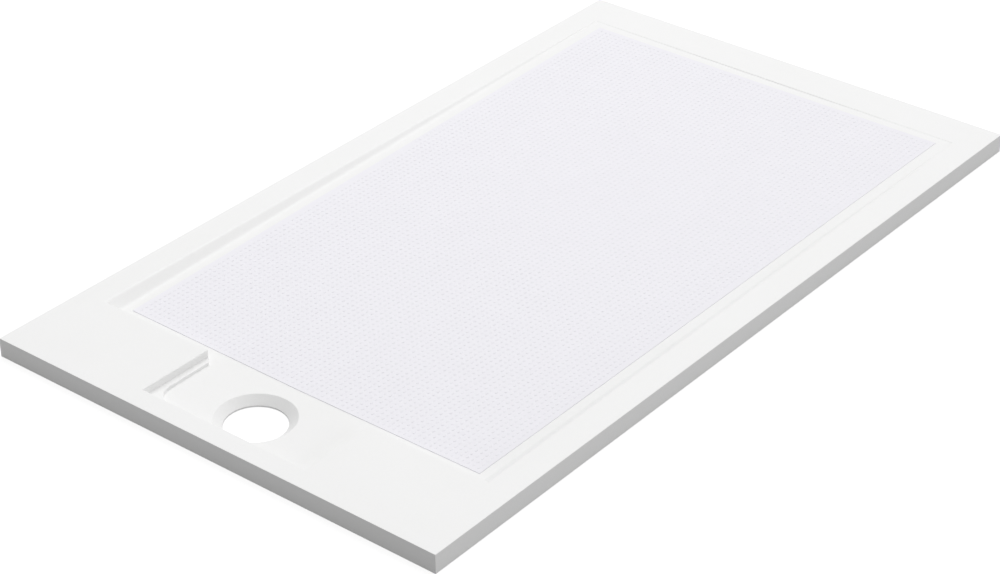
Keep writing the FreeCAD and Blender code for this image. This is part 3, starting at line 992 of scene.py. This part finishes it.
def make_floor_paper():
    """Pale paper: the camera sees it brightened to white, and it keeps the tray's soft shadow."""
    material = bpy.data.materials.new("floor_paper")
    material.use_nodes = True
    tree = material.node_tree
    tree.nodes.clear()
    place = place_node(tree, "ShaderNodeTexCoord").outputs["Object"]
    mottle = place_mottle(tree, place, patch_scale=3.0, grain_scale=200.0, grain_share=0.4)
    paper = place_node(tree, "ShaderNodeBsdfDiffuse")
    low = (floor_albedo * (1 - floor_unevenness),) * 3
    high = (floor_albedo * (1 + floor_unevenness),) * 3
    tone = place_ramp(tree, mottle.outputs["Mix"], ((0.3, low), (0.7, high)))
    join(tree, tone, paper.inputs["Color"])
    glow = place_node(tree, "ShaderNodeEmission")
    glow.inputs["Strength"].default_value = floor_glow
    seen = place_node(tree, "ShaderNodeAddShader")
    join(tree, paper.outputs["BSDF"], seen.inputs[0])
    join(tree, glow.outputs["Emission"], seen.inputs[1])
    rays = place_node(tree, "ShaderNodeLightPath")
    direct = place_maximum(tree, rays.outputs["Is Camera Ray"], rays.outputs["Is Glossy Ray"])
    choice = place_node(tree, "ShaderNodeMixShader")
    join(tree, direct, choice.inputs["Fac"])
    join(tree, paper.outputs["BSDF"], choice.inputs[1])
    join(tree, seen.outputs["Shader"], choice.inputs[2])
    below = place_node(tree, "ShaderNodeMixShader")
    clear = place_node(tree, "ShaderNodeBsdfTransparent")
    back = place_node(tree, "ShaderNodeNewGeometry").outputs["Backfacing"]
    join(tree, back, below.inputs["Fac"])
    join(tree, choice.outputs["Shader"], below.inputs[1])
    join(tree, clear.outputs["BSDF"], below.inputs[2])
    leave = place_node(tree, "ShaderNodeOutputMaterial")
    join(tree, below.outputs["Shader"], leave.inputs["Surface"])
    return material


floor_mesh.materials.append(make_floor_paper())

surround_strength = 0.462
world = bpy.data.worlds.new("white_surround")
world.use_nodes = True
bpy.context.scene.world = world
surround = world.node_tree
surround.nodes.clear()
rays = place_node(surround, "ShaderNodeLightPath")
direct = place_maximum(surround, rays.outputs["Is Camera Ray"], rays.outputs["Is Glossy Ray"])
through = place_maximum(surround, direct, rays.outputs["Is Transmission Ray"])
pure_white = (1.0, 1.0, 1.0, 1.0)
ambient = place_node(surround, "ShaderNodeBackground")
ambient.inputs["Color"].default_value = pure_white
ambient.inputs["Strength"].default_value = surround_strength
white = place_node(surround, "ShaderNodeBackground")
white.inputs["Color"].default_value = pure_white
white.inputs["Strength"].default_value = 1.0
choice = place_node(surround, "ShaderNodeMixShader")
join(surround, through, choice.inputs["Fac"])
join(surround, ambient.outputs["Background"], choice.inputs[1])
join(surround, white.outputs["Background"], choice.inputs[2])
leave = place_node(surround, "ShaderNodeOutputWorld")
join(surround, choice.outputs["Shader"], leave.inputs["Surface"])


def hang_lamp(name, place, size, power):
    """A square soft lamp that faces the middle of the tray."""
    lamp = bpy.data.lights.new(name, "AREA")
    lamp.shape = "SQUARE"
    lamp.size = size
    lamp.energy = power
    holder = bpy.data.objects.new(name, lamp)
    holder.location = place
    holder.rotation_euler = Vector(place).to_track_quat("Z", "Y").to_euler()
    bpy.context.scene.collection.objects.link(holder)


hang_lamp("overhead_softbox", (-1.2, 0.9, 3.2), size=3.0, power=30.0)
hang_lamp("right_fill", (8.0, 0.0, 2.2), size=3.0, power=92.0)

key_direction = Vector((-0.110, 0.488, 0.866))
soft_key = bpy.data.lights.new("soft_key", "SUN")
soft_key.angle = math.radians(50)
soft_key.energy = 1.10
key_holder = bpy.data.objects.new("soft_key", soft_key)
key_holder.rotation_euler = key_direction.to_track_quat("Z", "Y").to_euler()
bpy.context.scene.collection.objects.link(key_holder)

camera_azimuth = math.radians(38.997)
camera_elevation = math.radians(31.685)
camera_roll = math.radians(-0.277)
camera_aim = Vector((0.064962, -0.155753, 0.030))
camera_distance = 3.859039
camera = bpy.data.cameras.new("photo_camera")
camera.sensor_width = 36.0
camera.lens = 96.09
camera_object = bpy.data.objects.new("photo_camera", camera)
back = Vector(
    (
        math.sin(camera_azimuth) * math.cos(camera_elevation),
        -math.cos(camera_azimuth) * math.cos(camera_elevation),
        math.sin(camera_elevation),
    )
)
level_right = Vector((math.cos(camera_azimuth), math.sin(camera_azimuth), 0.0))
level_up = back.cross(level_right)
right = level_right * math.cos(camera_roll) + level_up * math.sin(camera_roll)
up = level_up * math.cos(camera_roll) - level_right * math.sin(camera_roll)
stand = Matrix((right, up, back)).transposed().to_4x4()
stand.translation = camera_aim + back * camera_distance
camera_object.matrix_world = stand
bpy.context.scene.collection.objects.link(camera_object)
bpy.context.scene.camera = camera_object
bpy.context.scene.view_settings.view_transform = "Standard"
